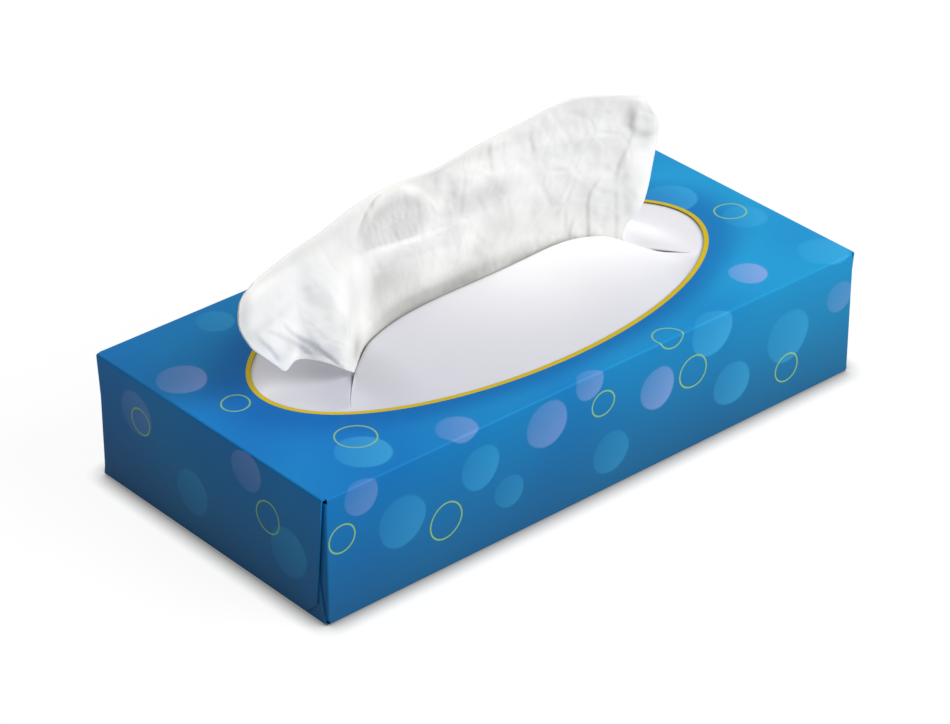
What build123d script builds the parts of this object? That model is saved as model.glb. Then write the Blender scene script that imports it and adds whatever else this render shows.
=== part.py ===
"""Flat facial tissue carton with an oval film window and one sheet standing in its slit.

Millimetres. X runs along the carton, Y across it, Z up. The origin is on the surface
that the carton rests on, under its centre.
"""
from build123d import *
from math import dist, exp, pi, sin
import os

# Carton: one folded blank of board
carton_length = 230.0
carton_width = 115.0
carton_height = 46.0
board = 0.5
fold_radius = 0.8
outer_flap_height = 44.6
outer_flap_taper = 4.0
flap_corner_cut = 5.0
inner_flap_height = 34.0
inner_flap_taper = 6.0
dust_flap_length = 42.0
dust_flap_clearance = 1.2
glue_tab_height = 15.0
glue_tab_end_gap = 10.0
glue_tab_slope = 60.0

# Oval window in the top panel
oval_length = 181.4
oval_width = 86.8

# Film glued under the top panel
film_thickness = 0.3
glue_line = 0.05
film_margin = 8.0
film_swell = 4.6
film_peak = 7.0
film_peak_place = (42.0, -12.0)
film_peak_reach = 24.0
film_rim_power = 2
film_columns = 48
film_rows = 30

# Arched slit in the film: its ends lie nearer the front than its middle
slit_half_length = 74.0
slit_apex = 9.5
slit_bow = 31.0
slit_power = 3.3
slit_gap = 3.0
slit_close_power = 4
slit_stations = 12

# Pack of interfolded sheets on the carton's floor
pack_end_room = 2.5
pack_side_room = 3.0
pack_head_room = 3.7
pack_fold_height = 3.0

# Sheet that stands in the slit, with its lower half laid on the pack
sheet_thickness = 0.5
sheet_length = 200.0
laid_width = 96.0
neck_inset = 14.0
neck_rise = 4.0
crest_depth = 10.0
crest_bow = 18.0
gather_count = 5
gather_depth = 2.6
gather_spread = 45.0
crest_calm = 0.5
overhang_reach = 20.0
standing_height = 56.0
curtain_margin = 4.0
curtain_columns = 40
curtain_rows = 12

# Front view of the standing sheet: X, and height above the carton
arch_point = (-75.0, 10.0)
tip_point = (-87.0, 10.5)
left_points = [(-101.0, 26.0), (-108.0, 40.0)]
left_corner = (-101.0, 48.5)
crest_points = [(-47.0, 51.0), (-3.0, 50.0), (39.0, 56.0)]
right_corner = (71.0, 50.5)
right_points = [(76.0, 39.0), (66.0, 14.0)]

# Worked out from the sizes above
inner_length = carton_length - 6 * board
inner_width = carton_width - 2 * board
film_top = carton_height - board - glue_line
film_under = film_top - film_thickness
laid_top = film_under - pack_head_room
pack_top = laid_top - sheet_thickness
neck_half = slit_half_length - neck_inset


def slit_line(x):
    """Middle of the slit, seen from above: its Y at a given X."""
    return slit_apex - slit_bow * min(1, abs(x / slit_half_length)) ** slit_power


def slit_lip(x, side):
    """One lip of the slit, seen from above: the gap closes towards both ends."""
    opening = slit_gap * (1 - abs(x / slit_half_length) ** slit_close_power)
    return slit_line(x) + side * opening / 2


def spread(count, start, end):
    """Evenly spaced values from start to end."""
    return [start + (end - start) * i / count for i in range(count + 1)]


# Carton: a tube of four panels closed by glued flaps at both ends
with BuildPart() as carton:
    # Four panels, with the blank's free edge square along the rear bottom corner
    with BuildSketch(Plane.YZ) as panels:
        with Locations((0, carton_height / 2)):
            Rectangle(carton_width, carton_height)
        rounded = panels.vertices().sort_by(lambda v: v.X - v.Y)[:-1]
        fillet(rounded, fold_radius)
        with Locations((0, carton_height / 2)):
            RectangleRounded(
                carton_width - 2 * board, carton_height - 2 * board, fold_radius - board, mode=Mode.SUBTRACT
            )
    extrude(amount=carton_length / 2 - 2 * board - fold_radius, both=True)

    # Glue tab, folded up inside the rear panel
    with BuildSketch(Plane.XZ.offset(board - carton_width / 2)):
        with Locations((0, board + glue_tab_height / 2)):
            Trapezoid(carton_length - 2 * glue_tab_end_gap, glue_tab_height, glue_tab_slope)
    extrude(amount=board)

    # Long sides turn in at both ends as dust flaps
    dust_bottom = board + dust_flap_clearance
    with BuildSketch(Plane.XY.offset(dust_bottom)):
        RectangleRounded(carton_length - 4 * board, carton_width, fold_radius)
        RectangleRounded(inner_length, inner_width, fold_radius - board, mode=Mode.SUBTRACT)
        Rectangle(carton_length, carton_width - 2 * dust_flap_length, mode=Mode.SUBTRACT)
    extrude(amount=carton_height - 2 * dust_bottom)

    # Bottom panel turns up at both ends as the inner flaps
    with BuildSketch(Plane.XZ):
        with Locations((0, carton_height / 2)):
            RectangleRounded(carton_length - 2 * board, carton_height, fold_radius)
            RectangleRounded(
                carton_length - 4 * board, carton_height - 2 * board, fold_radius - board, mode=Mode.SUBTRACT
            )
        with Locations((0, carton_height)):
            Rectangle(carton_length, 2 * (carton_height - inner_flap_height), mode=Mode.SUBTRACT)
    extrude(amount=carton_width / 2 - fold_radius, both=True)

    # Top panel turns down at both ends as the outer flaps
    with BuildSketch(Plane.XZ):
        with Locations((0, carton_height / 2)):
            RectangleRounded(carton_length, carton_height, fold_radius)
            RectangleRounded(
                carton_length - 2 * board, carton_height - 2 * board, fold_radius - board, mode=Mode.SUBTRACT
            )
        Rectangle(carton_length, 2 * (carton_height - outer_flap_height), mode=Mode.SUBTRACT)
    extrude(amount=carton_width / 2 - fold_radius, both=True)

    # Flaps narrow towards their free edges and lose their corners
    for end in (-1, 1):
        for side in (-1, 1):
            edge = side * carton_width / 2
            foot = carton_height - outer_flap_height
            with BuildSketch(Plane.YZ.offset(end * (carton_length / 2 - board))):
                Polygon(
                    (edge, carton_height - fold_radius),
                    (edge - side * fold_radius, carton_height - fold_radius),
                    (edge - side * outer_flap_taper, foot + flap_corner_cut),
                    (edge - side * (outer_flap_taper + flap_corner_cut), foot),
                    (edge, foot),
                    align=None,
                )
            extrude(amount=end * board, mode=Mode.SUBTRACT)
            with BuildSketch(Plane.YZ.offset(end * (carton_length / 2 - 2 * board))):
                Polygon(
                    (edge, fold_radius),
                    (edge - side * fold_radius, fold_radius),
                    (edge - side * inner_flap_taper, inner_flap_height),
                    (edge, inner_flap_height),
                    align=None,
                )
            extrude(amount=end * board, mode=Mode.SUBTRACT)

    # Oval window
    with BuildSketch(Plane.XY.offset(carton_height)):
        Ellipse(oval_length / 2, oval_width / 2)
    extrude(amount=-board, mode=Mode.SUBTRACT)
carton.part.label = "carton"


# Film: flat where it is glued, swollen inside the oval
def film_height(x, y):
    """Top of the film: it rises smoothly from the rim, most where the sheet pulls it up."""
    inside = 1 - (2 * x / oval_length) ** 2 - (2 * y / oval_width) ** 2
    if inside <= 0:
        return film_top
    pulled = exp(-((dist((x, y), film_peak_place) / film_peak_reach) ** 2))
    return film_top + (film_swell + film_peak * pulled) * inside**film_rim_power


film_length = oval_length + 2 * film_margin
film_width = oval_width + 2 * film_margin
film_surface = Face.make_surface_from_array_of_points(
    [
        [(x, y, film_height(x, y)) for y in spread(film_rows, -film_width / 2, film_width / 2)]
        for x in spread(film_columns, -film_length / 2, film_length / 2)
    ]
)
with BuildPart() as film:
    extrude(film_surface, amount=film_thickness, dir=(0, 0, -1))
    with BuildSketch(Plane.XY.offset(laid_top)):
        with BuildLine():
            stations = spread(slit_stations, -slit_half_length, slit_half_length)
            Spline([(x, slit_lip(x, -1)) for x in stations])
            Spline([(x, slit_lip(x, 1)) for x in stations])
        make_face()
    extrude(amount=carton_height, mode=Mode.SUBTRACT)
film.part.label = "dispensing_film"


# Pack of interfolded sheets: the folds stand in rows along both long sides
pack_length = inner_length - 2 * pack_end_room
pack_width = inner_width - 2 * pack_side_room
pack_height = pack_top - board
fold_rows = max(1, round(pack_height / pack_fold_height))
row_height = pack_height / fold_rows
with BuildPart() as pack:
    with BuildSketch(Plane.YZ):
        with Locations((0, board + pack_height / 2)):
            Rectangle(pack_width - row_height, pack_height)
        for row in range(fold_rows):
            with Locations((0, board + (row + 0.5) * row_height)):
                SlotOverall(pack_width, row_height)
    extrude(amount=pack_length / 2, both=True)
pack.part.label = "tissue_pack"


# Standing sheet: a curtain that follows the slit at its foot and fans out above it
def ease(value):
    """Smooth step from 0 to 1."""
    held = min(1, max(0, value))
    return held * held * (3 - 2 * held)


def curtain_depth(x, z):
    """Y of the standing sheet's front at a point of its front view."""
    climb = ease((z - carton_height) / standing_height)
    overhang = ease((abs(x) - neck_half) / overhang_reach)
    blend = 1 - (1 - climb) * (1 - overhang)
    crest = crest_depth - crest_bow * (x / (sheet_length / 2)) ** 2
    phase = pi * gather_count * x / (neck_half + gather_spread * blend)
    gather = gather_depth * blend * (1 - crest_calm * climb) * sin(phase)
    return (1 - blend) * slit_line(x) + blend * crest + gather - sheet_thickness / 2


def above(point):
    """A point of the sheet's front view, on the carton's height."""
    return (point[0], carton_height + point[1])


curtain_left = left_points[-1][0] - curtain_margin
curtain_right = right_points[0][0] + curtain_margin
curtain_top = carton_height + standing_height + curtain_margin
curtain = Face.make_surface_from_array_of_points(
    [
        [
            (x, curtain_depth(x, z), z)
            for z in spread(curtain_rows, pack_top + sheet_thickness / 2, curtain_top)
        ]
        for x in spread(curtain_columns, curtain_left, curtain_right)
    ]
)
with BuildPart() as sheet:
    extrude(curtain, amount=sheet_thickness, dir=(0, 1, 0))
    with BuildSketch(Plane.XZ):
        with BuildLine():
            foot_left = (-neck_half, pack_top)
            foot_right = (neck_half, pack_top)
            neck_left = (-neck_half, carton_height)
            neck_right = (neck_half, carton_height + neck_rise)
            Line(foot_left, neck_left)
            ThreePointArc(neck_left, above(arch_point), above(tip_point))
            Spline([above(point) for point in [tip_point, *left_points, left_corner]])
            Spline([above(point) for point in [left_corner, *crest_points, right_corner]])
            Spline([above(right_corner), *[above(point) for point in right_points], neck_right])
            Line(neck_right, foot_right)
            Line(foot_right, foot_left)
        make_face()
    extrude(amount=carton_width, both=True, mode=Mode.INTERSECT)
    # Lower half, laid on the pack
    with BuildSketch(Plane.XY.offset(pack_top)):
        Rectangle(sheet_length, laid_width)
    extrude(amount=sheet_thickness)
sheet.part.label = "popup_tissue"

os.makedirs("parts", exist_ok=True)
export_step(carton.part, "parts/carton.step")
export_step(film.part, "parts/dispensing_film.step")
export_step(pack.part, "parts/tissue_pack.step")
export_step(sheet.part, "parts/popup_tissue.step")
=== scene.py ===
"""Flat facial tissue carton with an oval film window and one sheet standing in its slit.

Lengths are millimetres on the model's own axes: X along the carton, Y across it, Z up.
Each new piece is shaped in millimetres and brought to the frame's metres at the end.
"""
import math

import bmesh
import bpy
import numpy as np
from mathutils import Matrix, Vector, noise


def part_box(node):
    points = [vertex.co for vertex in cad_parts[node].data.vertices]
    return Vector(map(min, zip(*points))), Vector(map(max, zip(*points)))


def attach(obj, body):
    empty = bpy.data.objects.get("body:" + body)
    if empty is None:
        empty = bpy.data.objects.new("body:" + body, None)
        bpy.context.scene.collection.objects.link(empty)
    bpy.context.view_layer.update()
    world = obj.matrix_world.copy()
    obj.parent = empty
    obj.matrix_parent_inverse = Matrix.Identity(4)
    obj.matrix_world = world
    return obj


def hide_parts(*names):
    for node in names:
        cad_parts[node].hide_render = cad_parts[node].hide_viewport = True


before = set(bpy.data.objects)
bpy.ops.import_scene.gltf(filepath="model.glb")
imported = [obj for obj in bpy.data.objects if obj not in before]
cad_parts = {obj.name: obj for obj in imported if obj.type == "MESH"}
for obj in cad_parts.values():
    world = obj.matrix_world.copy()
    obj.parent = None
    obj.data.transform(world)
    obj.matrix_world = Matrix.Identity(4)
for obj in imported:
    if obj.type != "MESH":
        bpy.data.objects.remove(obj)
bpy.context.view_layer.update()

# Carton: one blank of coated board, printed in blues and folded round the pack.
# Its shape is the frame's own. The print runs over the folds, as it does on a flat blank,
# and the cut edges show the bare board, darkened to an olive brown as painted shade.
mm = 0.001
carton_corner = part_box("carton")[1] / mm
half_length = carton_corner.x
half_width = carton_corner.y
height = carton_corner.z
board = 0.5
fold_radius = 0.8
flap_layers = 4 * board
window_x = 90.7
window_y = 43.4


def srgb(code):
    """Linear colour with alpha from a hex sRGB code."""
    parts = [int(code[i : i + 2], 16) / 255 for i in (1, 3, 5)]
    return [c / 12.92 if c <= 0.04045 else ((c + 0.055) / 1.055) ** 2.4 for c in parts] + [1.0]


def add(tree, kind, inputs, output=0, **settings):
    """A node with its settings, values and links. Gives the chosen output."""
    made = tree.nodes.new(kind)
    for name, value in settings.items():
        setattr(made, name, value)
    for name, value in inputs.items():
        if isinstance(value, bpy.types.NodeSocket):
            tree.links.new(value, made.inputs[name])
        else:
            made.inputs[name].default_value = value
    return made.outputs[output]


def new_material(name):
    """A material without nodes, and its tree."""
    material = bpy.data.materials.new(name)
    material.use_nodes = True
    material.node_tree.nodes.clear()
    return material, material.node_tree


def finish_material(tree, shader):
    """Links a shader to the material's surface."""
    output = tree.nodes.new("ShaderNodeOutputMaterial")
    tree.links.new(shader, output.inputs["Surface"])


# Coated folding boxboard, offset printed: smooth, with a soft sheen and the faintest fibre
printed_board, tree = new_material("offset_printed_boxboard")
place = add(tree, "ShaderNodeTexCoord", {}, output="Object")
place_mm = add(
    tree,
    "ShaderNodeVectorMath",
    {0: place, 1: (1 / mm, 1 / mm, 1 / mm)},
    operation="MULTIPLY",
)
axes = tree.nodes.new("ShaderNodeSeparateXYZ")
tree.links.new(place_mm, axes.inputs[0])
place_x, place_y, place_z = axes.outputs
away_x = add(tree, "ShaderNodeMath", {0: place_x}, operation="ABSOLUTE")
away_y = add(tree, "ShaderNodeMath", {0: place_y}, operation="ABSOLUTE")
below_top = add(tree, "ShaderNodeMath", {0: height, 1: place_z}, operation="SUBTRACT")
on_end = add(
    tree, "ShaderNodeMath", {0: away_x, 1: half_length - board / 2}, operation="GREATER_THAN"
)
on_side = add(
    tree, "ShaderNodeMath", {0: away_y, 1: half_width - board / 2}, operation="GREATER_THAN"
)
on_flaps = add(
    tree, "ShaderNodeMath", {0: away_x, 1: half_length - flap_layers}, operation="GREATER_THAN"
)

# Place on the flat blank: the ends and sides carry on outwards from the top panel
blank = []
for axis, on_panel in ((place_x, on_end), (place_y, on_side)):
    sign = add(tree, "ShaderNodeMath", {0: axis}, operation="SIGN")
    outwards = add(tree, "ShaderNodeMath", {0: sign, 1: below_top}, operation="MULTIPLY")
    blank.append(
        add(tree, "ShaderNodeMath", {0: outwards, 1: on_panel, 2: axis}, operation="MULTIPLY_ADD")
    )
flat_place = add(tree, "ShaderNodeCombineXYZ", {0: blank[0], 1: blank[1]})

# Ground: a blue that lightens to the right in soft clouds
cloud_size = 60.0
cloud_reach = 0.9
left_lightness, right_lightness = -0.2, 0.35
cloud = add(
    tree,
    "ShaderNodeTexNoise",
    {"Vector": flat_place, "Scale": 1 / cloud_size, "Detail": 1.0, "Roughness": 0.4},
)
rightward = add(
    tree,
    "ShaderNodeMapRange",
    {
        "Value": place_x,
        "From Min": -half_length,
        "From Max": half_length,
        "To Min": left_lightness,
        "To Max": right_lightness,
    },
)
lightness = add(
    tree, "ShaderNodeMath", {0: cloud, 1: cloud_reach, 2: rightward}, operation="MULTIPLY_ADD"
)
ground = add(
    tree,
    "ShaderNodeMix",
    {"Factor": lightness, 6: srgb("#036dc0"), 7: srgb("#1ea1d7")},
    output=2,
    data_type="RGBA",
)

# It is deeper beside the window, by shares of the window's oval. The oval's marks fade out
# well above the bottom panel.
shade_start, shade_end, shade_depth = 1.04, 1.28, 0.7
window_marks_depth = 20.0
from_top = add(
    tree, "ShaderNodeVectorMath", {0: place_mm, 1: (0, 0, height)}, operation="SUBTRACT"
)
oval_scaled = add(
    tree,
    "ShaderNodeVectorMath",
    {0: from_top, 1: (1 / window_x, 1 / window_y, 1 / window_marks_depth)},
    operation="MULTIPLY",
)
oval = add(tree, "ShaderNodeVectorMath", {0: oval_scaled}, output="Value", operation="LENGTH")
near_window = add(
    tree,
    "ShaderNodeMapRange",
    {
        "Value": oval,
        "From Min": shade_start,
        "From Max": shade_end,
        "To Min": shade_depth,
        "To Max": 0.0,
    },
    interpolation_type="SMOOTHSTEP",
)
ground = add(
    tree,
    "ShaderNodeMix",
    {"Factor": near_window, 6: ground, 7: srgb("#0060ac")},
    output=2,
    data_type="RGBA",
)

# Painted shade: the upright panels, the flap layers and the underside are darker, more so towards
# their foot
head_shade, foot_shade = 0.2, 0.8
below = add(
    tree,
    "ShaderNodeMapRange",
    {"Value": below_top, "From Max": height, "To Min": head_shade, "To Max": foot_shade},
)
under_top = add(tree, "ShaderNodeMath", {0: below_top, 1: board}, operation="GREATER_THAN")
end_layers = add(tree, "ShaderNodeMath", {0: on_flaps, 1: under_top}, operation="MULTIPLY")
underneath = add(
    tree, "ShaderNodeMath", {0: below_top, 1: height - fold_radius}, operation="GREATER_THAN"
)
shaded_faces = add(tree, "ShaderNodeMath", {0: end_layers, 1: on_side}, operation="MAXIMUM")
shaded_faces = add(tree, "ShaderNodeMath", {0: shaded_faces, 1: on_end}, operation="MAXIMUM")
shaded_faces = add(tree, "ShaderNodeMath", {0: shaded_faces, 1: underneath}, operation="MAXIMUM")
panel_shade = add(tree, "ShaderNodeMath", {0: below, 1: shaded_faces}, operation="MULTIPLY")
# Painted shade colour of those faces
ground = add(
    tree,
    "ShaderNodeMix",
    {"Factor": panel_shade, 6: ground, 7: srgb("#24557a")},
    output=2,
    data_type="RGBA",
)

# Translucent spots and thin rings, drawn a little uneven by a slow waver of the blank's place
waver_size = 14.0
waver_depth = 1.6
waver = add(
    tree,
    "ShaderNodeTexNoise",
    {"Vector": flat_place, "Scale": 1 / waver_size, "Detail": 0.0},
    output="Color",
)
waver_centred = add(
    tree, "ShaderNodeVectorMath", {0: waver, 1: (0.5, 0.5, 0.5)}, operation="SUBTRACT"
)
wavered = add(
    tree,
    "ShaderNodeVectorMath",
    {0: waver_centred, 1: (waver_depth, waver_depth, 0), 2: flat_place},
    operation="MULTIPLY_ADD",
)
wavered = add(tree, "ShaderNodeVectorMath", {0: wavered, 1: (1, 1, 0)}, operation="MULTIPLY")

# Each spot: place on the blank, radius, strength. Its print fades across it, and its edge
# softens over a few shares of its radius.
fade_direction = (0.6, -0.5, 0)
fade_depth = 0.45
edge_inside, edge_outside = 0.93, 1.05
spot_sets = {
    "#8fa8e4": [
        (-104, 26, 8.5, 0.62), (-58, -53, 7.0, 0.45), (100, 44, 7.5, 0.50), (78, -44, 6.5, 0.72),
        (54, 50, 7.0, 0.40), (-30, 54, 7.5, 0.40), (-100, -62, 6.5, 0.30), (-24, -68, 8.5, 0.42),
        (24, -74, 7.5, 0.55), (-6, -60, 6.0, 0.42), (108, -72, 6.0, 0.25), (-62, 82, 7.5, 0.40),
        (2, 80, 8.0, 0.42), (60, 74, 9.5, 0.45), (-122, -20, 7.0, 0.34), (-128, 36, 8.0, 0.26),
        (130, -36, 8.0, 0.40), (128, 24, 8.5, 0.34),
    ],
    "#46b4e8": [
        (-88, -44, 9.0, 0.55), (-74, 48, 6.5, 0.40), (94, 10, 9.5, 0.40), (104, -16, 7.5, 0.28),
        (10, 53, 5.5, 0.40), (107, -50, 8.5, 0.40), (-84, -78, 9.5, 0.30), (-52, -72, 8.0, 0.34),
        (-40, -86, 6.0, 0.25), (4, -90, 7.5, 0.25), (48, -62, 9.0, 0.50), (58, -86, 8.0, 0.40),
        (84, -78, 9.5, 0.36), (-90, 70, 8.5, 0.34), (-34, 72, 9.5, 0.38), (28, 66, 7.0, 0.40),
        (94, 72, 7.5, 0.40), (-142, -40, 9.0, 0.24), (-144, 8, 8.0, 0.22), (144, -6, 9.0, 0.32),
        (142, 44, 7.0, 0.30),
    ],
}
spotted = ground
for spot_colour, spots in spot_sets.items():
    cover = 0.0
    for centre_x, centre_y, radius, strength in spots:
        offset = add(
            tree,
            "ShaderNodeVectorMath",
            {0: wavered, 1: (centre_x, centre_y, 0)},
            operation="SUBTRACT",
        )
        reach = add(tree, "ShaderNodeVectorMath", {0: offset}, output="Value", operation="LENGTH")
        within = add(
            tree,
            "ShaderNodeMapRange",
            {
                "Value": reach,
                "From Min": radius * edge_outside,
                "From Max": radius * edge_inside,
                "To Max": strength,
            },
            interpolation_type="SMOOTHSTEP",
        )
        slope = [step * fade_depth / radius for step in fade_direction]
        fade = add(
            tree,
            "ShaderNodeVectorMath",
            {0: offset, 1: slope},
            output="Value",
            operation="DOT_PRODUCT",
        )
        fade = add(tree, "ShaderNodeMath", {0: fade, 1: 1 - fade_depth / 2}, operation="ADD")
        cover = add(
            tree, "ShaderNodeMath", {0: within, 1: fade, 2: cover}, operation="MULTIPLY_ADD"
        )
    spotted = add(
        tree,
        "ShaderNodeMix",
        {"Factor": cover, 6: spotted, 7: srgb(spot_colour)},
        output=2,
        data_type="RGBA",
    )

# Each ring: place on the blank, radius
ring_width = 0.55
ring_strength = 0.68
rings = [
    (-100, 4, 4.6), (-84, -36, 6.6), (84, 42, 4.8), (103, -10, 5.2), (30, -56, 5.4),
    (-108, -74, 5.0), (-66, -86, 6.4), (0, -70, 4.6), (40, -74, 6.0), (84, -90, 5.4),
    (-76, 78, 5.6), (-10, 72, 4.8), (44, 84, 6.2), (100, 84, 5.0),
    (-134, -30, 5.6), (-130, 34, 4.8), (134, -20, 5.4), (132, 36, 6.0),
]
ring_cover = 0.0
for centre_x, centre_y, radius in rings:
    reach = add(
        tree,
        "ShaderNodeVectorMath",
        {0: wavered, 1: (centre_x, centre_y, 0)},
        output="Value",
        operation="DISTANCE",
    )
    on_line = add(
        tree, "ShaderNodeMath", {0: reach, 1: radius, 2: ring_width / 2}, operation="COMPARE"
    )
    ring_cover = add(tree, "ShaderNodeMath", {0: on_line, 1: ring_cover}, operation="MAXIMUM")
ring_ink = add(
    tree, "ShaderNodeMath", {0: ring_cover, 1: ring_strength}, operation="MULTIPLY"
)
drawn = add(
    tree,
    "ShaderNodeMix",
    {"Factor": ring_ink, 6: spotted, 7: srgb("#a3cf4e")},
    output=2,
    data_type="RGBA",
)

# Yellow line round the window
rim_line = 1.7
rim_scaled = add(
    tree,
    "ShaderNodeVectorMath",
    {
        0: from_top,
        1: (1 / (window_x + rim_line), 1 / (window_y + rim_line), 1 / window_marks_depth),
    },
    operation="MULTIPLY",
)
rim_oval = add(tree, "ShaderNodeVectorMath", {0: rim_scaled}, output="Value", operation="LENGTH")
in_rim = add(tree, "ShaderNodeMath", {0: rim_oval, 1: 1.0}, operation="LESS_THAN")
lined = add(
    tree,
    "ShaderNodeMix",
    {"Factor": in_rim, 6: drawn, 7: srgb("#d0b61a")},
    output=2,
    data_type="RGBA",
)

# Ink only on the outside of the blank. Below half a board's depth the fibre shows, and on
# the window's cut edge, which is where the oval's share is below this one.
cut_edge = 1.0008
core = (half_length - fold_radius, half_width - fold_radius, height / 2 - fold_radius)
centred = add(
    tree, "ShaderNodeVectorMath", {0: place_mm, 1: (0, 0, height / 2)}, operation="SUBTRACT"
)
folded = add(tree, "ShaderNodeVectorMath", {0: centred}, operation="ABSOLUTE")
past_core = add(tree, "ShaderNodeVectorMath", {0: folded, 1: core}, operation="SUBTRACT")
past_core = add(tree, "ShaderNodeVectorMath", {0: past_core, 1: (0, 0, 0)}, operation="MAXIMUM")
skin = add(tree, "ShaderNodeVectorMath", {0: past_core}, output="Value", operation="LENGTH")
inked = add(
    tree, "ShaderNodeMath", {0: skin, 1: fold_radius - board / 2}, operation="GREATER_THAN"
)
outside_cut = add(tree, "ShaderNodeMath", {0: oval, 1: cut_edge}, operation="GREATER_THAN")
inked = add(tree, "ShaderNodeMath", {0: inked, 1: outside_cut}, operation="MULTIPLY")
inked = add(tree, "ShaderNodeMath", {0: inked, 1: on_flaps}, operation="MAXIMUM")

# The fibres are too fine to show, so they are drawn as clumps of nearly a millimetre
fibre_size = 5 / 6
fibre = add(
    tree, "ShaderNodeTexNoise", {"Vector": place_mm, "Scale": 1 / fibre_size, "Detail": 4.0}
)
# Bare board, with painted shade: darkened to the olive brown of a cut edge in shadow
bare_board_shaded = add(
    tree,
    "ShaderNodeMix",
    {"Factor": fibre, 6: srgb("#6f6438"), 7: srgb("#8d8258")},
    output=2,
    data_type="RGBA",
)
board_colour = add(
    tree, "ShaderNodeMix", {"Factor": inked, 6: bare_board_shaded, 7: lined}, output=2, data_type="RGBA"
)
raw_roughness, inked_roughness = 0.85, 0.42
board_rough = add(
    tree,
    "ShaderNodeMapRange",
    {"Value": inked, "To Min": raw_roughness, "To Max": inked_roughness},
)

# The coating's grain is drawn about as fine as the render shows
grain_size = 0.4
grain = add(
    tree, "ShaderNodeTexNoise", {"Vector": place_mm, "Scale": 1 / grain_size, "Detail": 3.0}
)
grain_bump = add(
    tree, "ShaderNodeBump", {"Height": grain, "Strength": 0.06, "Distance": 0.05 * mm}
)
board_shader = add(
    tree,
    "ShaderNodeBsdfPrincipled",
    {
        "Base Color": board_colour,
        "Roughness": board_rough,
        "Normal": grain_bump,
        "IOR": 1.5,
        "Specular IOR Level": 0.06,
    },
)
finish_material(tree, board_shader)
for material_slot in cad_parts["carton"].material_slots:
    material_slot.material = printed_board


# Dispensing film: one sheet of soft white polyethylene, glued under the top panel.
# It is cut once, in an arch from rim to rim. The sheets pull the front lip up into a
# rounded tongue, and the rear lip stands up a little at the right.
film_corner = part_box("dispensing_film")[1] / mm
glue_line = 0.05
film_plane = height - board - glue_line
film_gauge = 0.12
film_columns = 180
front_rows, rear_rows = 44, 40
weld = 0.02

# Share of each half, from the film's edge inwards, that is glued to the panel
glued = 0.12

# Slit: the same line and gap as in the solid. The sheet's pleats pinch the gap at the right,
# it gapes beside them, and at the left the front lip keeps closer to the line.
slit_half_length = 74.0
slit_apex = 9.5
slit_bow = 31.0
slit_power = 3.3
slit_gap = 3.0
slit_close_power = 4
pinch, gape, front_narrowing = 0.8, 1.4, 0.55

# Heights of the lips
tongue_rise = 4.2
tongue_peak = 3.2
rear_rise = 2.6
rear_bump = 3.8
rear_sag = 0.6
lip_roll = 1.4
lip_drop = 0.9
meeting_roll = 5.0
front_fullness, rear_fullness = 2.3, 1.8

# Spans along X: start and end of the full effect, then its fades left and right
tongue_span = (-48, 52, 20, 18)
peak_span = (-48, 50, 20, 16)
rear_span = (-30, 48, 30, 16)
pinch_span = (58, 60, 8, 5)

# Bells along X: middle and reach. The bump also has one from the rim to the lip, and the
# sag fades out where the slit is less open than this share.
peak_bell = (43, 17)
gape_bell = (66, 4)
sag_bell = (-62, 12)
sag_opening = 0.3
bump_bell = (67.5, 7.5)
bump_depth_bell = (0.6, 0.24)

# Steps: start and run. Left of the first three, the rear lip tucks under the front one,
# the front one keeps closer to the line, and both meet on one level. The last two end
# the bump at its right and at the lip.
tuck_step = (-63, 5)
narrow_step = (-62, 8)
meeting_step = (-67, 6)
bump_end_step = (78, 8)
bump_lip_step = (0.85, 0.15)

# Painted light and shade of the film: painted highlights up the tongue and on the rear bump,
# painted shade where it lies low by the rim and under the sheet's overhang at the left
front_light, tongue_highlight = 0.34, 0.66
rear_light, bump_highlight = 0.6, 0.5
front_painted_shade, rear_painted_shade = 0.1, 0.6
tongue_highlight_bell = (40, 45)
front_painted_shade_bell = (-70, 40)
rear_painted_shade_bell = (-68, 22)
rear_painted_shade_run = 0.8


def slit_line(x):
    """Y of the slit's middle at a given X."""
    inside = np.minimum(np.abs(x) / slit_half_length, 1)
    return slit_apex - slit_bow * inside**slit_power


def ease(value):
    """Smooth step from 0 to 1."""
    held = np.clip(value, 0, 1)
    return held * held * (3 - 2 * held)


def past(value, start, run):
    """0 up to the start, then rising to 1 over the run."""
    return ease((value - start) / run)


def bell(value, centre, reach):
    """Bell curve of height 1."""
    return np.exp(-(((value - centre) / reach) ** 2))


def plateau(value, start, end, left, right):
    """1 between start and end, falling to 0 over the given runs outside them."""
    return ease((value - start + left) / left) * ease((end + right - value) / right)


def places(points):
    """The places of the given mesh points, as an array."""
    return np.array([point.co for point in points])


def piece(name, mesh, material):
    """A smooth-shaded object from a mesh shaped in millimetres, in the carton's body."""
    bmesh.ops.scale(mesh, vec=(mm, mm, mm), verts=mesh.verts)
    for face in mesh.faces:
        face.smooth = True
    data = bpy.data.meshes.new(name)
    mesh.to_mesh(data)
    mesh.free()
    made = bpy.data.objects.new(name, data)
    bpy.context.scene.collection.objects.link(made)
    data.materials.append(material)
    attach(made, "root")
    return made


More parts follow.
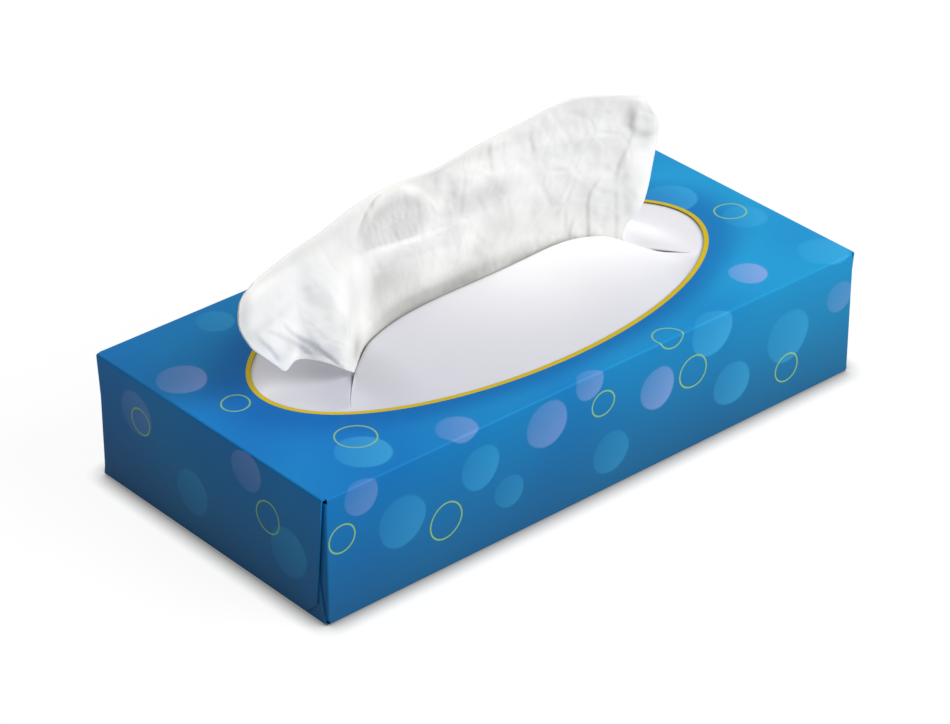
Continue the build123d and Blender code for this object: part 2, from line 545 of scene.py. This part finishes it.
# Each half is a grid from the film's edge to its lip, glued as far as the window's rim
film_mesh = bmesh.new()
film_painted_light = film_mesh.verts.layers.float.new("film_painted_light")
for side, rows in ((-1, front_rows), (1, rear_rows)):
    grid = bmesh.ops.create_grid(
        film_mesh, x_segments=film_columns, y_segments=rows, size=0.5
    )["verts"]
    flat = places(grid)
    across = flat[:, 0] * 2 * film_corner.x
    along = flat[:, 1] * side + 0.5

    # How far the lip stands off the slit's line
    open_here = np.clip(1 - (np.abs(across) / slit_half_length) ** slit_close_power, 0, 1)
    parted = slit_gap / 2 * open_here * (1 - pinch * plateau(across, *pinch_span))
    parted = parted * (1 + gape * bell(across, *gape_bell))
    if side < 0:
        parted = parted * (1 - front_narrowing * (1 - past(across, *narrow_step)))
    else:
        parted = parted * (1 - 2 * (1 - past(across, *tuck_step)))

    # Past the slit's ends the two halves share a line that runs to the rim
    past_slit = np.clip((np.abs(across) - slit_half_length) / (window_x - slit_half_length), 0, 1)
    lip = slit_line(across) * (1 - past_slit**2) + side * parted
    rim = side * window_y * np.sqrt(np.clip(1 - (across / window_x) ** 2, 0, 1))
    edge = side * film_corner.y
    bent = np.where(along > glued, (along - glued) / (1 - glued), 0)
    depth = np.where(along > glued, rim + (lip - rim) * bent, edge + (rim - edge) * along / glued)

    # Height of the film: it swells towards the lip, and the lip itself rolls down
    sag = rear_sag * bell(across, *sag_bell) * past(open_here, 0, sag_opening)
    if side < 0:
        meeting = 1 - past(across, *meeting_step)
        peak = tongue_peak * bell(across, *peak_bell) * plateau(across, *peak_span)
        rise = tongue_rise * plateau(across, *tongue_span) + peak
        swell = 1 - (1 - bent) ** front_fullness
    else:
        meeting = np.zeros(len(across))
        rise = rear_rise * plateau(across, *rear_span) - sag
        swell = bent**rear_fullness
    drop = lip_drop * open_here * (1 - meeting) + (rise + sag) * meeting
    to_lip = np.abs(depth - lip)
    rolled = np.clip(1 - to_lip / (lip_roll + meeting_roll * meeting), 0, 1) ** 2
    level = film_plane + (rise * swell - rolled * drop * (along > glued)) * (open_here > 0)
    if side < 0:
        light = front_light + tongue_highlight * swell**2 * bell(across, *tongue_highlight_bell)
        light = light - front_painted_shade * bell(across, *front_painted_shade_bell)
    else:
        bump = bell(across, *bump_bell) * bell(bent, *bump_depth_bell)
        bump = bump * (1 - past(across, *bump_end_step))
        level = level + rear_bump * bump * (1 - past(bent, *bump_lip_step))
        light = rear_light + bump_highlight * bump
        light = light - rear_painted_shade * bell(across, *rear_painted_shade_bell) * past(bent, 0, rear_painted_shade_run)
    for point, spot, share in zip(grid, np.stack([across, depth, level], axis=1), light):
        point.co = spot
        point[film_painted_light] = share
bmesh.ops.remove_doubles(film_mesh, verts=film_mesh.verts, dist=weld)
bmesh.ops.recalc_face_normals(film_mesh, faces=film_mesh.faces)
if sum(face.normal.z for face in film_mesh.faces) < 0:
    bmesh.ops.reverse_faces(film_mesh, faces=film_mesh.faces)

# Low-density polyethylene, cast white: milky, slippery, with a wide soft shine. Faint lines
# run the way it was drawn.
line_length = 50 / 3
line_width = 2.5
white_film, tree = new_material("white_polyethylene_film")
place = add(tree, "ShaderNodeTexCoord", {}, output="Object")
line_scale = (1 / (line_length * mm), 1 / (line_width * mm), 1 / (line_length * mm))
pull_lines = add(tree, "ShaderNodeMapping", {"Vector": place, "Scale": line_scale})
drawn_film = add(
    tree, "ShaderNodeTexNoise", {"Vector": pull_lines, "Scale": 1.0, "Detail": 2.0}
)
film_bump = add(
    tree, "ShaderNodeBump", {"Height": drawn_film, "Strength": 0.12, "Distance": 0.1 * mm}
)
# Painted light and shade: grey lilac where the film lies in shade, near white on its highlights
film_light_share = add(tree, "ShaderNodeAttribute", {}, output="Fac", attribute_name="film_painted_light")
film_light_and_shade = add(
    tree,
    "ShaderNodeMix",
    {"Factor": film_light_share, 6: srgb("#bfbfcb"), 7: srgb("#fdfdff")},
    output=2,
    data_type="RGBA",
)
film_shader = add(
    tree,
    "ShaderNodeBsdfPrincipled",
    {
        "Base Color": film_light_and_shade,
        "Roughness": 0.4,
        "IOR": 1.51,
        "Specular IOR Level": 0.4,
        "Normal": film_bump,
    },
)
finish_material(tree, film_shader)

film = piece("window_film", film_mesh, white_film)
film_wall = film.modifiers.new("gauge", "SOLIDIFY")
film_wall.thickness = film_gauge * mm
film_wall.offset = -1
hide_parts("dispensing_film")


# Tissue pack: the sheets left in the box, interfolded. It rests on the carton's floor.
# Only a sliver shows through the slit. The frame's own solid stays.

# Height that one sheet takes in the pack
sheet_pitch = 0.45

# Soft matt tissue, seen on its folded edges: faint grey lines between the sheets, painted
# shade in the gaps. They are too fine to show, so they are drawn four times as coarse as
# they lie. The first value is how long one wave of Blender's bands is at scale 1.
wave_length = 0.314
edge_coarseness = 4
layered_tissue, tree = new_material("interfolded_tissue")
place = add(tree, "ShaderNodeTexCoord", {}, output="Object")
layer_lines = add(
    tree,
    "ShaderNodeTexWave",
    {
        "Vector": place,
        "Scale": wave_length / (edge_coarseness * sheet_pitch * mm),
        "Distortion": 1.2,
        "Detail": 2.0,
    },
    output="Fac",
    bands_direction="Z",
)
layer_gap_shade = add(
    tree,
    "ShaderNodeMix",
    {"Factor": layer_lines, 6: srgb("#d9d9d6"), 7: srgb("#f1f1ee")},
    output=2,
    data_type="RGBA",
)
layer_bump = add(
    tree, "ShaderNodeBump", {"Height": layer_lines, "Strength": 0.5, "Distance": 0.3 * mm}
)
layer_shader = add(
    tree,
    "ShaderNodeBsdfPrincipled",
    {"Base Color": layer_gap_shade, "Roughness": 0.95, "Normal": layer_bump},
)
finish_material(tree, layer_shader)
for material_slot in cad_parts["tissue_pack"].material_slots:
    material_slot.material = layered_tissue


# Standing sheet: one two-ply tissue, drawn up through the slit as a soft doubled fan.
# It rises from the pack, folds over at its crest and goes back down behind, so both
# of its halves lie on the pack. It is crumpled where it was pinched and pulled.
sheet_half = 100.0
tissue_gauge = 0.25
laid_gap = 0.35
laid_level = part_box("tissue_pack")[1].z / mm + laid_gap
laid_reach = 48.0
foot_left, foot_right, foot_level = -60.0, 58.0, 44.0
sheet_columns, sheet_rows = 250, 170

# Front view of the standing part: X and Z of its edges
crest_line = [
    (-101, 94.7), (-89, 94.8), (-77, 95.0), (-64, 95.3), (-47, 97.0), (-36, 97.0), (-24, 96.1),
    (-13, 95.1), (-3, 96.0), (7, 97.4), (23, 99.4), (33, 101.1), (40, 102.2), (47, 102.3),
    (60, 99.5), (70.8, 96.8),
]
left_line = [
    (foot_left, foot_level), (-61.2, 46.6), (-68.1, 51.9), (-72.6, 54.5), (-77, 55.6),
    (-81, 56.2), (-85.6, 55.1), (-90.5, 59.8), (-99.6, 69.4), (-103.3, 73.7), (-108.5, 82.5),
    (-109.3, 87.7), (-107.5, 93), (-101, 94.7),
]
right_line = [
    (foot_right, foot_level), (58.2, 50.9), (59.5, 55.5), (63.2, 60.0), (65.8, 63.5),
    (74.2, 76.8), (76.4, 85.1), (74.1, 90.7), (70.8, 96.8),
]

# Share of the left line that the free arch takes, and how steeply the rows leave that line
arch_share = 0.31
row_climb = 7

# Lean of the standing part: it follows the slit at its foot, then bows along its crest
neck_half = 60.0
overhang_reach = 20.0
standing_height = 56.0
crest_depth = 10.0
crest_bow = 18.0

# Folds of the front, each a run of X and Z places going up or to the right, the rise
# towards the viewer on the run, and how far it takes to fall away left and right of it.
toward_viewer = np.array((-0.563, -0.643, 0.520))
fold_gain = 1.2
fold_fade_run, fold_fade_start = 0.25, 0.15
folds = [
    # pressed leaf above the middle, with the crease that runs down from it
    ([(-49, 83.5), (-44, 90), (-37, 95.5), (-29, 94.5), (-21, 88.5), (-15, 81.5)], 2.4, 3, 14),
    ([(-49, 80), (-34, 74.5), (-19.5, 72.5), (-8.5, 71.5), (0.5, 73.5)], 0.8, 2.0, 5),
    ([(-48.5, 50.5), (-49.5, 64.5), (-48, 83)], -2.0, 5, 13),
    # narrow facet beside the crease
    ([(-60, 56.5), (-58, 63.5), (-54, 68)], 1.2, 3, 4),
    # creases that gather at the left end of the slit
    ([(-87, 75.5), (-82.5, 69), (-78, 64.5), (-74, 61.5), (-70, 56.5), (-64.5, 50)], 0.85, 11, 1.1),
    ([(-97, 77.5), (-90, 72), (-83, 66), (-77, 60.5), (-73, 55.5)], 0.8, 5, 1.0),
    ([(-101, 78), (-96, 72), (-91, 66), (-87.5, 60)], 0.85, 4, 1.0),
    # turned-back left edge
    ([(-101, 76), (-101, 85), (-100.5, 93)], 2.0, 9, 24),
    # dents and creases of the middle
    ([(-17, 94), (-12, 87.5), (-7.5, 80)], -1.3, 7, 4),
    ([(-5, 80.5), (2.5, 83), (15.5, 80.5), (22, 73.5)], 1.5, 9, 8),
    ([(-4, 56), (-1, 65.5), (2, 74)], 1.1, 9, 5),
    ([(26.5, 95), (29, 92), (30, 87.5)], 0.5, 5, 1.5),
    ([(12.5, 86), (12, 90), (11, 97)], 0.6, 1.5, 10),
    ([(23.5, 83.5), (32.5, 83), (42, 81.5), (53.5, 81)], -1.2, 6, 13),
    # upright pleats at the right end
    ([(47.5, 40), (48.3, 52), (48.4, 63.5), (49.5, 68), (52.5, 72), (57, 75.5)], 0.5, 0.8, 10),
    ([(56, 40), (56.5, 51), (57, 62), (58, 71.5)], 0.3, 0.8, 8),
    ([(42, 44), (42.5, 54.5), (43.5, 61)], 0.3, 0.8, 6),
    ([(57.5, 70), (59, 75), (61.3, 79), (63.5, 82), (65.5, 86)], 0.5, 0.9, 9),
    # folded upper right corner
    ([(64, 87), (67, 91), (71, 97)], 0.8, 4, 9),
    ([(64, 86.5), (71, 85.4), (76.5, 85)], 1.1, 9, 2.5),
    # rim of the free arch
    ([(-87, 54), (-81, 56.2), (-77, 55.6), (-72.6, 54.5), (-68.1, 51.9), (-60, 45.5)], 0.7, 2.2, 2.2),
]

# Crumple: size of the facets, their depth, the depth of the creases between them, seed.
# A crease is as wide as this share of a facet.
crumples = [
    (21.0, 2.8, 0.4, 3.7),
    (13.0, 1.2, 0.3, 6.4),
    (8.0, 1.0, 0.2, 9.1),
    (4.5, 0.3, 0.06, 5.3),
]
crease_share = 0.16

# The relief stops short of the crest, and beside the lips it keeps within their gap
crest_calm_step = (0.95, 0.05)
lip_zone = 2.0
lip_run = 6.0
lip_room = 0.6

# Room between the two halves: close at the crest and the sides, lofted between them
ply_gap = 0.6
loft_gap = 3.2
loft_span = (0.5, 0.7, 0.5, 0.3)
loft_side_run = 0.1
crest_closing, crest_closing_step = 0.6, (0.9, 0.1)
side_closing, side_closing_run = 0.7, 0.03

# Parts that lie on the pack: the shares of their way over which they spread to the full
# width and begin to ripple, and the ripple's height and lengths
spread_run, ripple_run = 0.8, 0.3
ripple_height = 0.2
ripple_x, ripple_y = 9.0, 13.0

# Spots of painted shade, where folds shade the sheet: X, Z, reach along each, depth of tone
shade_spots = [
    (12, 79, 11, 4.5, 0.45), (-13, 87, 3, 6, 0.2), (-37, 68, 9, 6, 0.45), (-58, 86, 9, 6, 0.3),
    (-32, 60, 14, 9, 0.6), (-42, 62, 5, 9, 0.25), (-29, 50, 22, 5, 0.9), (5, 51, 24, 4, 0.9),
    (6, 58, 12, 5, 0.4), (15, 66, 9, 6, 0.4), (-58, 53, 5, 5, 0.85), (-17, 90, 5, 4, 0.4),
    (-63, 63, 4, 4, 0.35), (-84, 63, 5, 4, 0.25), (-98, 75, 6, 6, 0.2), (-55, 68, 5, 8, 0.4),
    (-106.5, 88, 3.5, 9, 0.4), (65, 91, 2.5, 3, 0.6), (70, 83, 3.5, 3, 0.5),
    (0, 95, 60, 2.5, 0.2), (54, 99, 25, 3, 0.2), (-76, 93, 28, 3, 0.3), (50, 50, 12, 2.5, 0.4),
    (-38, 90, 6, 4, 0.3), (-5, 76, 12, 8, 0.25), (30, 62, 10, 8, 0.3), (72, 90, 3.5, 4.5, 0.4),
]
rear_tone = 0.3

# Embossed leaf: a half-moon that stands on a slanted crease, darkened by painted shade
leaf_x, leaf_z = -32.5, 82.5
leaf_reach_x, leaf_reach_z = 20.0, 12.5
leaf_gain, leaf_cut = 3.2, 1.2
leaf_foot, leaf_tilt, leaf_foot_run = 76.3, -0.21, 1.5
leaf_shade = 0.42


def along_curve(points, share):
    """Points at shares from 0 to 1 of a smooth line through the given points."""
    knots = np.array([points[0], *points, points[-1]], float)
    steps = np.linalg.norm(np.diff(knots[1:-1], axis=0), axis=1)
    length = np.concatenate([[0], np.cumsum(steps)])
    spot = np.interp(share, length / length[-1], np.arange(len(points)))
    span = np.minimum(spot.astype(int), len(points) - 2)
    t = (spot - span)[..., None]
    a, b, c, d = (knots[span + i] for i in range(4))
    return b + t / 2 * (c - a + t * (2 * a - 5 * b + 4 * c - d + t * (3 * (b - c) + d - a)))


def foot_x(across):
    """X of the sheet's foot in the slit, at shares of its width."""
    return foot_left + (foot_right - foot_left) * across


def fan(across, up):
    """X and Z of the standing part: a patch stretched between its four edge lines.

    Its rows climb away steeply from the left edge, so that none fold back at the free arch.
    """
    left = along_curve(left_line, np.interp(up, (0, 0.5, 1), (0, arch_share, 1)))
    right = along_curve(right_line, up)
    top = along_curve(crest_line, across)
    foot = np.stack([foot_x(across), np.full_like(across, foot_level)], axis=1)
    b = up[:, None]
    a = np.stack([across, 1 - (1 - across) ** row_climb], axis=1)
    corners = (1 - a) * ((1 - b) * np.array(left_line[0]) + b * np.array(crest_line[0]))
    corners = corners + a * ((1 - b) * np.array(right_line[0]) + b * np.array(crest_line[-1]))
    return (1 - a) * left + a * right + (1 - b) * foot + b * top - corners


def lean(x, z):
    """Y of the standing part at a place of its front view."""
    climb = past(z, height, standing_height)
    overhang = past(np.abs(x), neck_half, overhang_reach)
    blend = 1 - (1 - climb) * (1 - overhang)
    crest = crest_depth - crest_bow * (x / sheet_half) ** 2
    return (1 - blend) * slit_line(x) + blend * crest


def fold_height(x, z, run, rise, left_fall, right_fall):
    """Height of one fold: greatest on its run, with rounded flanks that fade at its ends."""
    best = np.full(x.shape, np.inf)
    side = np.zeros(x.shape)
    share = np.zeros(x.shape)
    total = sum(math.dist(p, q) for p, q in zip(run, run[1:]))
    done = 0.0
    for (ax, az), (bx, bz) in zip(run, run[1:]):
        length = math.hypot(bx - ax, bz - az)
        ux, uz = (bx - ax) / length, (bz - az) / length
        t = np.clip((x - ax) * ux + (z - az) * uz, 0, length)
        dx, dz = x - ax - t * ux, z - az - t * uz
        gap = np.hypot(dx, dz)
        nearer = gap < best
        best = np.where(nearer, gap, best)
        side = np.where(nearer, ux * (z - az) - uz * (x - ax), side)
        share = np.where(nearer, (done + t) / total, share)
        done += length
    fall = np.where(side > 0, left_fall, right_fall)
    flank = np.clip(1 - best / fall, 0, 1)
    flank = (flank + np.sin(flank * math.pi / 2)) / 2
    fade_in = ease(share / fold_fade_run + fold_fade_start)
    fade_out = ease((1 - share) / fold_fade_run + fold_fade_start)
    return rise * flank * fade_in * fade_out


def crumple(x, z, size, seed):
    """Soft facets from -0.5 to 0.5, and the creases between them from 0 to 1."""
    found = np.array([noise.voronoi((a / size, b / size, seed))[0][:2] for a, b in zip(x, z)])
    nearest, second = found.T
    return nearest - 0.5, np.clip(1 - (second - nearest) / crease_share, 0, 1)


tissue_mesh = bmesh.new()
tissue_mesh.loops.layers.uv.new("flat sheet")
bmesh.ops.create_grid(
    tissue_mesh, x_segments=sheet_columns, y_segments=sheet_rows, size=0.5, calc_uvs=True
)
flat = places(tissue_mesh.verts)
across = flat[:, 0] + 0.5
way = flat[:, 1] + 0.5

# Stages of the sheet's way from one end to the other: the share of its length at which
# each one ends, and then where each one starts and ends
stage_ends = {
    "laid front": 0.10,
    "rise": 0.14,
    "front": 0.64,
    "crest": 0.68,
    "back": 0.88,
    "fall": 0.91,
    "laid rear": 1.0,
}
ends = list(stage_ends.values())
stages = dict(zip(stage_ends, zip([0.0, *ends], ends)))


def part_of(stage):
    """How far along one stage of its way each point is, from 0 to 1."""
    start, end = stages[stage]
    return np.clip((way - start) / (end - start), 0, 1)


# The standing part: its front view, its lean and its relief
behind = way > sum(stages["crest"]) / 2
up = np.where(behind, 1 - part_of("back"), part_of("front"))
outline = fan(across, up)
x, z = outline[:, 0], outline[:, 1]
relief = fold_gain * sum(fold_height(x, z, *fold) for fold in folds)
for facet_size, facet_depth, crease_depth, seed in crumples:
    facets, creases = crumple(x, z, facet_size, seed)
    relief = relief + facet_depth * facets - crease_depth * creases
relief = relief * (1 - past(up, *crest_calm_step))
standing = past(z, height - lip_zone, lip_run)
near_lip = 1 - past(z, height + lip_zone, lip_run)
relief = relief - near_lip * np.maximum(relief - lip_room, 0)
to_side = np.minimum(across, 1 - across)
lofted = plateau(up, *loft_span) * past(to_side, 0, loft_side_run) * behind
closing = 1 - crest_closing * past(up, *crest_closing_step)
closing = closing * (1 - side_closing * (1 - past(to_side, 0, side_closing_run)))
gap = ply_gap * closing + (loft_gap - ply_gap) * lofted
turned = part_of("crest") * math.pi
points = np.stack([x, lean(x, z) - gap * np.cos(turned), z + gap * np.sin(turned)], axis=1)
points = points + (relief * standing)[:, None] * toward_viewer

# Below the slit each half turns outwards and lies down on the pack
drop = foot_level - laid_level
start_x = foot_x(across)
for side, here, laid, bend in (
    (-1, way < stages["front"][0], 1 - part_of("laid front"), 1 - part_of("rise")),
    (1, way > stages["fall"][0], part_of("laid rear"), part_of("fall")),
):
    start_y = slit_line(start_x) + side * ply_gap
    turned_y = start_y + side * drop * (1 - np.cos(bend * math.pi / 2))
    turned_z = foot_level - drop * np.sin(bend * math.pi / 2)
    spread_x = start_x + (sheet_half * (2 * across - 1) - start_x) * past(laid, 0, spread_run)
    far_y = turned_y + (side * laid_reach - turned_y) * laid
    ripple = ripple_height * np.sin(spread_x / ripple_x + far_y / ripple_y)
    ripple = ripple * past(laid, 0, ripple_run)
    lower = np.stack([spread_x, far_y, turned_z + ripple], axis=1)
    points = np.where(here[:, None], lower, points)

# Painted shade of the spots and the leaf, fainter on the back
tissue_shade = tissue_mesh.verts.layers.float.new("tissue_shade")
embossed = tissue_mesh.verts.layers.float.new("embossed")
tone = sum(depth * bell(x, cx, rx) * bell(z, cz, rz) for cx, cz, rx, rz, depth in shade_spots)
leaf = leaf_gain * bell(x, leaf_x, leaf_reach_x) * bell(z, leaf_z, leaf_reach_z) - leaf_cut
leaf = ease(leaf) * past(z, leaf_foot + leaf_tilt * (x - leaf_x), leaf_foot_run)
tone = np.clip((tone + leaf_shade * leaf) * np.where(behind, rear_tone, 1), 0, 1)
for point, spot, share, pressing in zip(tissue_mesh.verts, points, tone, leaf):
    point.co = spot
    point[tissue_shade] = share
    point[embossed] = pressing
bmesh.ops.recalc_face_normals(tissue_mesh, faces=tissue_mesh.faces)

# Creped two-ply tissue: matt, faintly warm, thin enough to let some light through. Its crepe
# is about 0.3 mm from ridge to ridge, and is drawn coarser so that it shows.
crepe_pitch = 0.7
crepe_stretch = 4
creped_tissue, tree = new_material("creped_tissue")
sheet_uv = add(tree, "ShaderNodeTexCoord", {}, output="UV")
crepe_scale = 2 * sheet_half / crepe_pitch
crepe_place = add(
    tree,
    "ShaderNodeMapping",
    {"Vector": sheet_uv, "Scale": (crepe_scale / crepe_stretch, crepe_scale, 1)},
)
crepe = add(tree, "ShaderNodeTexNoise", {"Vector": crepe_place, "Scale": 1.0, "Detail": 3.0})
crepe_bump = add(
    tree, "ShaderNodeBump", {"Height": crepe, "Strength": 0.25, "Distance": 0.12 * mm}
)

# Slanted dashes, pressed into the leaf alone and drawn coarser than real so that they show
dash_pitch = 3.2
dash_length = 13.0
dash_slant = 0.27
dash_place = add(
    tree,
    "ShaderNodeMapping",
    {
        "Vector": sheet_uv,
        "Rotation": (0, 0, dash_slant),
        "Scale": (2 * sheet_half, 2 * sheet_half, 1),
    },
)
dash_lines = add(
    tree,
    "ShaderNodeTexWave",
    {
        "Vector": dash_place,
        "Scale": wave_length / dash_pitch,
        "Distortion": 3.0,
        "Detail": 1.0,
        "Detail Scale": 0.4,
    },
    output="Fac",
)
dash_gaps = add(
    tree,
    "ShaderNodeTexWave",
    {
        "Vector": dash_place,
        "Scale": wave_length / dash_length,
        "Distortion": 6.0,
        "Detail": 1.0,
        "Detail Scale": 0.5,
    },
    output="Fac",
    bands_direction="Y",
)
dashes = add(tree, "ShaderNodeMath", {0: dash_lines, 1: dash_gaps}, operation="MULTIPLY")
leaf_share = add(tree, "ShaderNodeAttribute", {}, output="Fac", attribute_name="embossed")
leaf_dashes = add(tree, "ShaderNodeMath", {0: dashes, 1: leaf_share}, operation="MULTIPLY")
leaf_bump = add(
    tree,
    "ShaderNodeBump",
    {"Height": leaf_dashes, "Strength": 0.25, "Distance": 0.35 * mm, "Normal": crepe_bump},
)
shade_share = add(tree, "ShaderNodeAttribute", {}, output="Fac", attribute_name="tissue_shade")
# Painted shade: white, greying where the folds shade the sheet
tissue_shaded_tint = add(
    tree,
    "ShaderNodeMix",
    {"Factor": shade_share, 6: srgb("#f9f8f4"), 7: srgb("#bbbbb6")},
    output=2,
    data_type="RGBA",
)
tissue_shader = add(
    tree,
    "ShaderNodeBsdfPrincipled",
    {
        "Base Color": tissue_shaded_tint,
        "Roughness": 0.95,
        "Normal": leaf_bump,
        "Subsurface Weight": 0.25,
        "Subsurface Radius": (1.0, 1.0, 0.9),
        "Subsurface Scale": 2.0 * mm,
    },
)
finish_material(tree, tissue_shader)

tissue = piece("standing_tissue", tissue_mesh, creped_tissue)
tissue_ply = tissue.modifiers.new("two plies", "SOLIDIFY")
tissue_ply.thickness = tissue_gauge * mm
tissue_ply.offset = 0
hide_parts("popup_tissue")


# Stage: a white table, just under the carton, in a white room. The table shows the carton's
# shadow and a darker line where they touch.
table_radius = 4.0
table_drop = 0.0002
contact_reach = 0.007
table_mesh = bmesh.new()
bmesh.ops.create_circle(table_mesh, cap_ends=True, segments=96, radius=table_radius)
table_data = bpy.data.meshes.new("floor")
table_mesh.to_mesh(table_data)
table_mesh.free()
table = bpy.data.objects.new("floor", table_data)
table.location.z = -table_drop
bpy.context.scene.collection.objects.link(table)


def seen_directly(tree):
    """1 for what the camera, glossy and transmission rays see, else 0."""
    paths = tree.nodes.new("ShaderNodeLightPath").outputs
    mirrored = add(
        tree,
        "ShaderNodeMath",
        {0: paths["Is Glossy Ray"], 1: paths["Is Transmission Ray"]},
        operation="MAXIMUM",
    )
    return add(
        tree, "ShaderNodeMath", {0: paths["Is Camera Ray"], 1: mirrored}, operation="MAXIMUM"
    )


# White laminate: plain grey to the light. Where it is seen it glows near white, takes a
# little shadow, and dims where the carton closes it in.
shadow_share = 0.12
contact_light, open_light = 0.25, 0.91
closed_corner = 0.45
white_table, tree = new_material("white_table")
table_plain = add(tree, "ShaderNodeBsdfDiffuse", {"Color": srgb("#b4b4b4")})
table_shadow = add(
    tree, "ShaderNodeBsdfDiffuse", {"Color": (shadow_share, shadow_share, shadow_share, 1)}
)
near_contact = add(
    tree, "ShaderNodeAmbientOcclusion", {"Distance": contact_reach}, output="AO"
)
table_light = add(
    tree,
    "ShaderNodeMapRange",
    {
        "Value": near_contact,
        "From Min": closed_corner,
        "From Max": 1.0,
        "To Min": contact_light,
        "To Max": open_light,
    },
)
table_glow = add(tree, "ShaderNodeEmission", {"Color": (1, 1, 1, 1), "Strength": table_light})
table_seen = add(tree, "ShaderNodeAddShader", {0: table_shadow, 1: table_glow})
table_shader = add(
    tree, "ShaderNodeMixShader", {0: seen_directly(tree), 1: table_plain, 2: table_seen}
)
finish_material(tree, table_shader)
table_data.materials.append(white_table)

room_light = 0.32
world = bpy.data.worlds.new("studio")
bpy.context.scene.world = world
world.use_nodes = True
tree = world.node_tree
tree.nodes.clear()
room = add(tree, "ShaderNodeBackground", {"Color": (1, 1, 1, 1), "Strength": room_light})
backdrop = add(tree, "ShaderNodeBackground", {"Color": (1, 1, 1, 1), "Strength": 1.0})
world_shader = add(tree, "ShaderNodeMixShader", {0: seen_directly(tree), 1: room, 2: backdrop})
world_output = tree.nodes.new("ShaderNodeOutputWorld")
tree.links.new(world_shader, world_output.inputs["Surface"])

# Each lamp: name, place in metres, size in metres, power in watts. The key lamp stands at
# the front right, and a low one behind lights the sheet's back.
lamp_aim = Vector((0, 0, 0.04))
for lamp_name, lamp_place, lamp_size, watts in (
    ("key", (0.60, -1.09, 0.96), 1.0, 23.0),
    ("rear", (0.0, 1.3, 0.40), 0.8, 8.6),
):
    lamp_data = bpy.data.lights.new(lamp_name, "AREA")
    lamp_data.size = lamp_size
    lamp_data.energy = watts
    lamp = bpy.data.objects.new(lamp_name, lamp_data)
    lamp.location = lamp_place
    lamp.rotation_euler = (lamp_aim - Vector(lamp_place)).to_track_quat("-Z", "Y").to_euler()
    bpy.context.scene.collection.objects.link(lamp)

# Camera: a long lens, turned and tilted as in the photograph, with its place in metres
camera_data = bpy.data.cameras.new("camera")
camera_data.lens = 143.6
camera_data.sensor_width = 36.0
azimuth = math.radians(-41.218)
elevation = math.radians(31.3)
distance = 1.2455
camera_aim = Vector((-0.004608, -0.000819, 0.025))
outward = math.cos(elevation)
toward_camera = Vector(
    (math.sin(azimuth) * outward, -math.cos(azimuth) * outward, math.sin(elevation))
)
camera = bpy.data.objects.new("camera", camera_data)
camera.location = camera_aim + distance * toward_camera
camera.rotation_euler = toward_camera.to_track_quat("Z", "Y").to_euler()
bpy.context.scene.collection.objects.link(camera)
bpy.context.scene.camera = camera
bpy.context.scene.view_settings.view_transform = "Standard"
